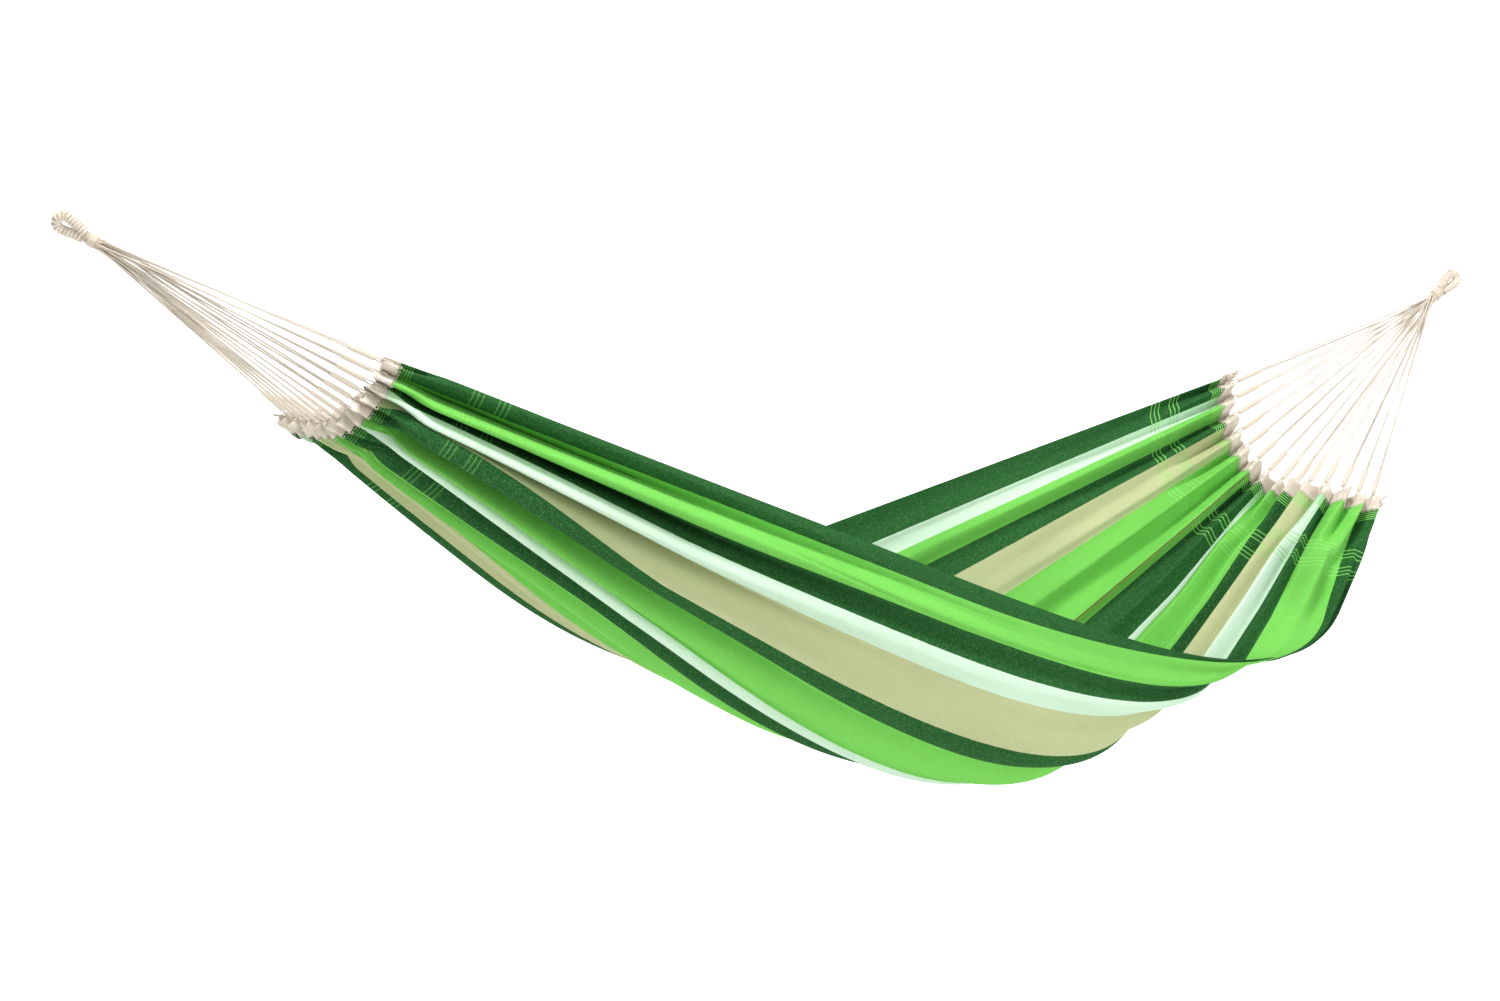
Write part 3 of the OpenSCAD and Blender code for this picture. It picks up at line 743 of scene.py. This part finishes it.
def cloth_surface(v):
    """Pleated cloth over shares v, with its length from both edges."""
    vv = np.broadcast_to(v[:, None], (len(v), bed.shape[1]))
    at = bed_shares(vv)
    table = on_bed(at)
    run, back = table[..., 6], table[..., 7]
    lip = rise(vv, *LIP_ACROSS) * rise(back, *LIP_START) * (1 - rise(back, *LIP_STOP))
    height = 0
    for end, away in enumerate((run, back)):
        fade = 1 / (1 + (away / FOLD_REACH[end]) ** FOLD_FALL)
        gather = rise(away, GATHER_START, GATHER[end])
        folds = fade * hanging_folds(end, vv) * (1 - LIP_FLAT * lip)
        height = height + PLEAT_H * ((1 - gather) * zigzag(at) + gather * folds)
    ease = smooth(np.minimum(run, back) / DRAPE_EASE)
    wide = vv * 5.3 + 0.35 * np.sin(run * 2.1) + 0.2
    fine = vv * 13.7 + 0.8 * run + 0.3 * np.sin(3.1 * run + 9 * vv)
    drape = WIDE_DRAPE * np.sin(2 * math.pi * wide) + FINE_DRAPE * np.sin(2 * math.pi * fine)
    line = mix(*CREASE_AT, rise(run, 0.2, 1.1))
    crease = CREASE_H * np.exp(-((vv - line) / CREASE_W) ** 2) * smooth(run / 0.2) * (1 - rise(run, 1.3, 0.5))
    tuck = TUCK_H * np.exp(-((run - TUCK_AT[0]) / TUCK_WIDE[0]) ** 2
                           - ((vv - TUCK_AT[1]) / TUCK_WIDE[1]) ** 2)
    lift = height + ease * drape - tuck - crease
    return table[..., :3] + lift[..., None] * table[..., 3:6], run, back


def slab(name, grid, run, back, v, half, slot, look, *nodes):
    """A sheet as a closed skin on both sides of a grid."""
    stand = half[..., None] * grid_normals(grid)
    c, r = grid.shape[:2]
    verts = np.concatenate([(grid + stand).reshape(-1, 3), (grid - stand).reshape(-1, 3)])
    top = grid_faces(c, r)
    low = top[:, ::-1] + c * r
    rim = np.concatenate([np.arange(r), np.arange(1, c) * r + r - 1, (c - 1) * r + np.arange(r - 2, -1, -1),
                          np.arange(c - 2, 0, -1) * r])
    nxt = np.roll(rim, -1)
    border = np.stack([nxt, rim, rim + c * r, nxt + c * r], -1)
    faces = np.concatenate([top, low, border])
    maps = {}
    for label, length in (("cloth", run), ("ends", back)):
        flat = np.stack([length, np.broadcast_to(v[:, None], run.shape)], -1).reshape(-1, 2)
        maps[label] = flat[faces % (c * r)]
    return made(name, verts, faces.tolist(), maps, "bed", slot, look, *nodes)


for name, node, low, high, count in (("far_cloth", "far_panel", 0.0, SEAM_V, FAR_PLEATS),
                                     ("near_cloth", "near_panel", SEAM_V, 1.0, PLEATS - FAR_PLEATS)):
    shares = np.linspace(low, high, count * PLEAT_COLS + 1)
    grid, run, back = cloth_surface(shares)
    rim, beside = (0, 1) if low else (-1, -2)
    step = np.linalg.norm(grid[beside] - grid[rim], axis=-1, keepdims=True)
    grid[rim] = mix(grid[rim], grid[beside], np.minimum(0.9, SEAM_SET_BACK / step))
    half = np.full(run.shape, CLOTH_T / 2)
    sheet = slab(name, grid, run, back, shares, half, "striped_cloth", cloth_finish, node)


def squared(wave):
    """A sine wave with fuller shoulders."""
    return np.sign(wave) * np.abs(wave) ** 0.6


# Felled seam between the two loom widths
grid, run, back = cloth_surface(SEAM_V + np.array([-SEAM_STEP, 0, SEAM_STEP]))
keep = (run[1] > HEM) & (back[1] > HEM)
seam_up, seam_side = grid_normals(grid)[1][keep], unit(grid[2] - grid[0])[keep]
seam_round = np.arange(SEAM_SIDES) / SEAM_SIDES * 2 * math.pi
seam_rings = (grid[1][keep][:, None]
              + (SEAM_W / 2) * squared(np.cos(seam_round))[None, :, None] * seam_side[:, None]
              + (CLOTH_T / 2 + SEAM_STAND) * squared(np.sin(seam_round))[None, :, None] * seam_up[:, None])
Tubes().skin(seam_rings, run[1][keep]).piece("felled_seam", "bed", "seam_thread", seam_finish, "centre_seam")


# Canvas headers
def edge_normal(end, into, line):
    return unit(np.cross(into if end == 0 else -into, np.gradient(line, axis=0)))


def edge_frame(end, v):
    """Cloth edge at shares v: point, way towards the throat, way into the cloth, normal and fold height."""
    l, a, _, b, r = warp(v)
    edge, inner = (l, a) if end == 0 else (r, b)
    out, into = unit(THROAT[end] - edge), unit(inner - edge)
    return edge, out, into, edge_normal(end, into, edge), PLEAT_H * zigzag(v)


tape_v = np.linspace(0, 1, PLEATS * PLEAT_COLS + 1)
for end, side_name in enumerate(ENDS):
    edge, out, into, normal, fold = edge_frame(end, tape_v)
    uneven = (1 + 0.15 * np.sin(2 * math.pi * (9.3 * tape_v + 0.3 * end))
              + 0.11 * np.sin(2 * math.pi * (23.7 * tape_v + 0.1)))
    reach = (TAPE_ROWS[None, :] * uneven[:, None])[..., None]
    way = np.where(reach < 0, into[:, None] * -reach, out[:, None] * reach)
    crease = (1 + TAPE_CREASE * np.sin(2 * math.pi * (4.7 * tape_v + 0.2 * end))[:, None]
              * smooth(TAPE_ROWS[None, :] / HEADER_W))
    grid = edge[:, None] + way + (fold[:, None] * crease)[..., None] * normal[:, None]
    thick = mix(CLOTH_T / 2 + TAPE_T, TAPE_FOLD_T, rise(TAPE_ROWS, -0.001, 0.006))
    half = thick[None, :] * np.ones((len(tape_v), 1))
    half[:, 0] *= 0.75
    half[:, -1] *= 0.6
    tape_run = np.broadcast_to(TAPE_ROWS[None, :], half.shape)
    slab(f"{side_name}_header_tape", grid, tape_run, tape_run, tape_v, half, "header_canvas", canvas_finish,
         f"{side_name}_header")

    # Worked eyelets
    rings = Tubes()
    a = np.linspace(0, 2 * math.pi, 25)
    for k in range(PLEATS):
        centre = head_point(end, cord_col(k), EYELET_IN)
        face, u = leg_normal(end, k), head_dir(end, cord_col(k))
        worked = EYELET_R * (np.cos(a)[:, None] * u + np.sin(a)[:, None] * np.cross(face, u))
        for s in (1, -1):
            rings.add(centre + s * face * EYELET_STAND + worked, EYELET_THREAD_R, 6)
    rings.piece(f"{side_name}_eyelet_stitching", "bed", "whipping_twine", twine_finish)

    # The stitch that binds the tape to the pleats
    stitch = Tubes()
    stitch_v = np.linspace(0, 1, PLEATS * STITCHES * 8 + 1)
    edge, _, into, normal, fold = edge_frame(end, stitch_v)
    inward = STITCH_IN + STITCH_SWAY * squared(np.sin(2 * math.pi * stitch_v * PLEATS * STITCHES))
    line = edge + fold[:, None] * normal
    wall = edge_normal(end, into, line)
    for s in (1, -1):
        stitch.add(line + into * inward[:, None] + s * (CLOTH_T / 2 + STITCH_STAND) * wall, STITCH_R, 5)
    stitch.piece(f"{side_name}_hem_stitch", "bed", "whipping_twine", twine_finish)

# Knots that end the header tapes
knot_t = np.linspace(0, 2 * math.pi, 49)
trefoil = np.stack([np.sin(knot_t) + 2 * np.sin(2 * knot_t), np.cos(knot_t) - 2 * np.cos(2 * knot_t),
                    -np.sin(3 * knot_t)], -1)
for name, end, corner in (("right_far_corner_knot", 1, 0), ("right_near_corner_knot", 1, -1),
                          ("left_far_corner_knot", 0, 0)):
    edge, out, _, normal, _ = (q[corner] for q in edge_frame(end, tape_v))
    middle = edge + KNOT_OUT * out
    axes = np.array([out, normal, np.cross(out, normal)])
    knot = Tubes().add(middle + KNOT_SIZE * (trefoil @ axes), KNOT_CORD_R, 8)
    for lean_out, lean_side in ((0.9, 0.5), (0.4, -0.9)):
        tail = [middle, middle + KNOT_TAIL / 2 * (lean_out * out + 0.3 * normal),
                middle + KNOT_TAIL * (lean_out * out + lean_side * normal)]
        knot.add(bezier(tail, np.linspace(0, 1, 9)), np.linspace(*KNOT_TAIL_R, 9), 8)
    knot.piece(name, "bed", "cotton_cord", cord_finish)


# Hanging loops
def place_loop(end, p):
    """Points of a loop drawn along +X from its hook seat, put in its place."""
    p = np.asarray(p, dtype=float)
    roll, pitch = (LEFT_ROLL, LEFT_PITCH) if end == 0 else (0.0, RIGHT_PITCH)
    cr, sr, cp, sp = math.cos(roll), math.sin(roll), math.cos(pitch), math.sin(pitch)
    x, y, z = p[..., 0], p[..., 1] * cr - p[..., 2] * sr, p[..., 1] * sr + p[..., 2] * cr
    x, z = x * cp + z * sp, -x * sp + z * cp
    if end == 1:
        x = -x
    return np.stack([x + (SPAN if end else 0), y, z + (HOOK_RISE if end else 0)], -1)


def loop_axis(end, way):
    return place_loop(end, way) - place_loop(end, np.zeros(3))


leg_angle = math.asin(EYE_R / math.hypot(NECK_START, CORE_R)) - math.atan(CORE_R / NECK_START)
leg_len = NECK_START * math.cos(leg_angle) - CORE_R * math.sin(leg_angle)
arc_len = EYE_R * (math.pi + 2 * leg_angle)


def strand(s):
    """Middle of the loop's strand at length s from the middle of the eye, and its outward direction."""
    a = np.clip(s, -arc_len / 2, arc_len / 2)
    t = a / EYE_R
    out = np.stack([-np.cos(t), 0 * t, np.sin(t)], -1)
    forward = np.stack([np.sin(t), 0 * t, np.cos(t)], -1)
    return np.array([EYE_X, 0, 0]) + EYE_R * out + (s - a)[..., None] * forward, out


def throat_strands(end):
    """Strands that run from under the seizing to the cords, in three rings by their places in the throat."""
    routes = [leg_route(end, k, side) for k in range(PLEATS) for side in (1, -1)]
    slots = np.array([r[0] for r in routes])
    away = slots - THROAT[end]
    flat = np.stack([away @ loop_axis(end, [0, 1, 0]), away @ loop_axis(end, [0, 0, 1])], -1)
    order = np.argsort(np.linalg.norm(flat, axis=1))
    strands = Tubes()
    for chosen, ring_r in zip((order[:3], order[3:11], order[11:]), NECK_RINGS):
        angle = np.arctan2(flat[chosen, 1], flat[chosen, 0])
        rank = np.argsort(np.argsort(angle))
        shift = np.angle(np.mean(np.exp(1j * (angle - 2 * math.pi * rank / len(chosen)))))
        for q, m in zip(chosen, rank):
            a = 2 * math.pi * m / len(chosen) + shift
            y, z = ring_r * math.cos(a), ring_r * math.sin(a)
            near = place_loop(end, [[EYE_X + NECK_START - 0.014, 0.3 * y, 0.55 * z],
                                    [SEIZING_X - 0.004, y, z], [SEIZING_END - 0.002, y, z],
                                    [SEIZING_END + 0.012, y, z]])
            onward = unit(routes[q][1] - routes[q][0])
            fanning = bezier([near[2], near[3], slots[q] - 0.014 * onward, slots[q] + 0.003 * onward],
                             np.linspace(0, 1, 12))
            route = np.concatenate([np.array(rounded(list(near[:3]), 0.006))[:-1], fanning])
            strands.add(spaced(route, 0.003), CORD_R, 8, *CORD_TWIST)
    return strands


for end, side_name in enumerate(ENDS):
    body = f"{side_name}_loop"
    half_run = arc_len / 2 + leg_len
    s = np.linspace(0.002 - half_run, half_run - 0.002, 120)
    core = Tubes().add(place_loop(end, strand(s)[0]), CORE_R + CORE_SKIN, 14, *CORE_TWIST)
    core.piece(f"{side_name}_loop_strands", body, "loop_rope", rope_finish, f"{side_name}_loop_core")

    wound = half_run - 0.010
    turns = int(2 * wound / SERVING_PITCH)
    share = np.arange(turns * 24 + 1) / (turns * 24)
    middle, out = strand((share * 2 - 1) * wound)
    a = 2 * math.pi * turns * share
    radial = np.cos(a)[:, None] * out + np.sin(a)[:, None] * np.array([0, 1.0, 0])
    helix = place_loop(end, middle + (CORE_R + SERVING_STAND) * radial)
    Tubes().add(helix, SERVING_CORD_R, 9, *SERVING_TWIST).piece(
        f"{side_name}_serving_cord", body, "whipping_twine", twine_finish, f"{side_name}_loop_serving")

    turn = np.arange(SEIZING_WRAPS * 28 + 1) / 28
    a = 2 * math.pi * turn
    axial = SEIZING_X - 0.001 + turn * (SEIZING_END - SEIZING_X - 0.001) / SEIZING_WRAPS
    wraps = np.stack([axial, SEIZING_R * np.cos(a), SEIZING_R * np.sin(a)], -1)
    Tubes().add(place_loop(end, wraps), SERVING_R * 0.95, 7).piece(
        f"{side_name}_seizing_cord", body, "whipping_twine", twine_finish, f"{side_name}_neck_seizing")

    piece = throat_strands(end).piece(f"{side_name}_throat_strands", None, None, rope_finish)
    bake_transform(piece)

# Floor with a raised rim, which glows at the back
FLOOR_MIDDLE, FLOOR_SIDES = (1.5, 0.0, -2.15), 72
FLOOR_GLOW, GLOW_SOFT, GLOW_FROM, GLOW_TO = 0.82, 3.0, -0.25, 0.55
floor_r = np.array([9, 10.5, 11.6, 12.6, 13.4, 14, 14.3, 14.4])
floor_h = np.array([0, 0.08, 0.3, 0.8, 1.7, 3.2, 5.5, 11])
floor_turn = np.arange(FLOOR_SIDES) / FLOOR_SIDES * 2 * math.pi
bowl = np.stack([floor_r[:, None] * np.cos(floor_turn), floor_r[:, None] * np.sin(floor_turn),
                 np.broadcast_to(floor_h[:, None], (len(floor_h), FLOOR_SIDES))], -1)


def pale_floor(w):
    where = w.node("ShaderNodeTexCoord", None, None, 3)
    tone = w.noise(where, 0.8, 2.0)
    return tone.between(0.2, 0.8).blend((0.86, 0.86, 0.855, 1), (0.9, 0.9, 0.895, 1)), tone, 0.0005


floor_finish = finish("pale floor", pale_floor, 0.9, 0.0)
floor_shader = floor_finish.node_tree.nodes["Principled BSDF"]
floor_shader.inputs["Emission Strength"].default_value = FLOOR_GLOW
level, behind = Wire(floor_finish.node_tree).node("ShaderNodeTexCoord", None, None, 3).parts()
beside = level - FLOOR_MIDDLE[0]
spread = (beside * beside + behind * behind) ** 0.5
glow = (behind / (spread + GLOW_SOFT)).between(GLOW_FROM, GLOW_TO).blend((0.25, 0.25, 0.25, 1), (1, 1, 1, 1))
floor_finish.node_tree.links.new(glow.socket, floor_shader.inputs["Emission Color"])
floor_faces = [list(range(FLOOR_SIDES))] + grid_faces(len(floor_r), FLOOR_SIDES, True)[:, ::-1].tolist()
floor = made("floor", (FLOOR_MIDDLE + bowl).reshape(-1, 3), floor_faces, {}, None, None, floor_finish)
floor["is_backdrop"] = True

# Light
WORLD_LIGHT = 0.17
world = bpy.data.worlds.new("studio")
world.use_nodes = True
sky = world.node_tree.nodes["Background"].inputs
sky[0].default_value, sky[1].default_value = (1.0, 1.0, 1.0, 1), WORLD_LIGHT
bpy.context.scene.world = world
bpy.context.scene.view_settings.view_transform = "Standard"
for name, lamp_at, aim_at, size, power in (("key", (0.9, -1.7, 3.4), (1.5, 0, -0.6), 1.4, 190.0),
                                           ("fill", (3.4, -4.6, 0.4), (1.8, 0, -0.7), 2.6, 70.0)):
    data = bpy.data.lights.new(name, "AREA")
    data.shape, data.size, data.energy = "DISK", size, power
    lamp = bpy.data.objects.new(name, data)
    lamp.location = lamp_at
    way = np.array(lamp_at) - np.array(aim_at)
    lamp.rotation_euler = (math.atan2(math.hypot(way[0], way[1]), way[2]), 0, math.atan2(way[0], -way[1]))
    bpy.context.scene.collection.objects.link(lamp)

low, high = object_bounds()
